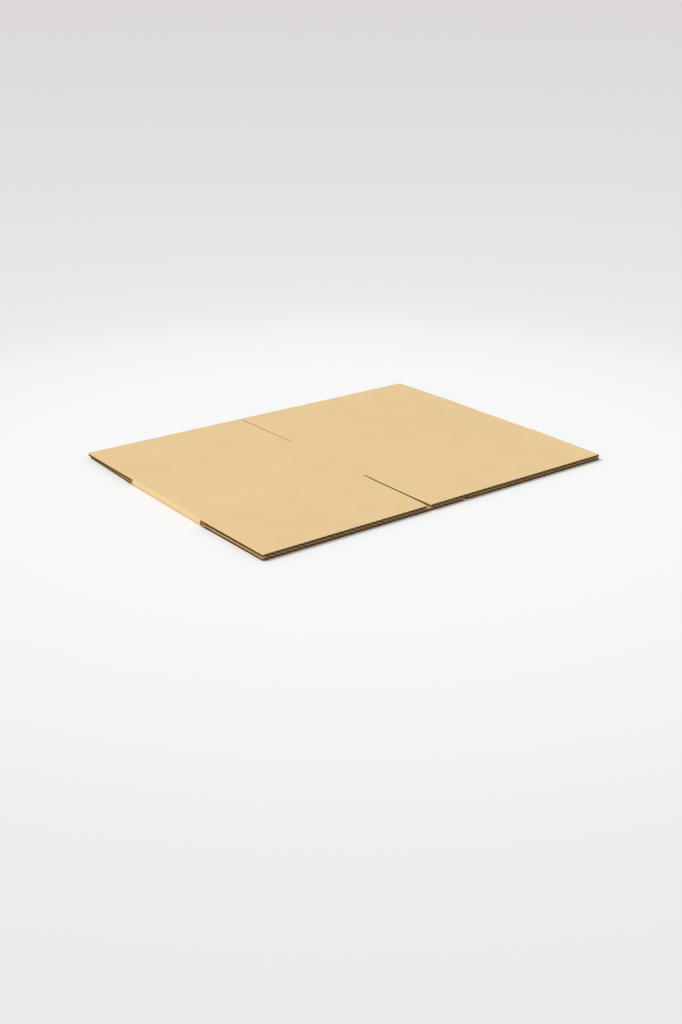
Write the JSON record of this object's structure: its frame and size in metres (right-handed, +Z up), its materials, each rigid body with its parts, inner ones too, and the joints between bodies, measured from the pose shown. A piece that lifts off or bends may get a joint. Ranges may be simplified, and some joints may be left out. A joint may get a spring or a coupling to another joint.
{
  "type": "flattened cardboard box",
  "caption": "Regular slotted carton of corrugated board, knocked down flat: a folded, glued sleeve of four walls with fluted cut edges, slots and upper flaps that turn up at their creases.",
  "frame": {"origin": "middle of the underside, on the surface that the flat box lies on", "axes": "+X across the flat width, from the fold beside the narrow upper wall to the fold beside the wide one; +Y along the flutes, from the front flaps to the rear flaps; +Z up through the two layers of board"},
  "size_m": [0.456, 0.347, 0.0069],
  "materials": {
    "kraft_board": "plain unbleached kraft board, matt, with darker cut edges"
  },
  "bodies": {
    "sleeve": {"folded_sleeve": "kraft_board"},
    "front_narrow": {"front_narrow_flap": "kraft_board"},
    "front_wide": {"front_wide_flap": "kraft_board"},
    "rear_narrow": {"rear_narrow_flap": "kraft_board"},
    "rear_wide": {"rear_wide_flap": "kraft_board"}
  },
  "joints": [
    {"name": "front_narrow_crease", "type": "hinge", "parent": "sleeve", "child": "front_narrow", "pos_m": [-0.127, -0.0715, 0.0069], "axis": [-1, 0, 0], "range_deg": [0, 160]},
    {"name": "front_wide_crease", "type": "hinge", "parent": "sleeve", "child": "front_wide", "pos_m": [0.101, -0.0715, 0.0069], "axis": [-1, 0, 0], "range_deg": [0, 160]},
    {"name": "rear_narrow_crease", "type": "hinge", "parent": "sleeve", "child": "rear_narrow", "pos_m": [-0.127, 0.0715, 0.0069], "axis": [1, 0, 0], "range_deg": [0, 175]},
    {"name": "rear_wide_crease", "type": "hinge", "parent": "sleeve", "child": "rear_wide", "pos_m": [0.101, 0.0715, 0.0069], "axis": [1, 0, 0], "range_deg": [0, 175]}
  ]
}
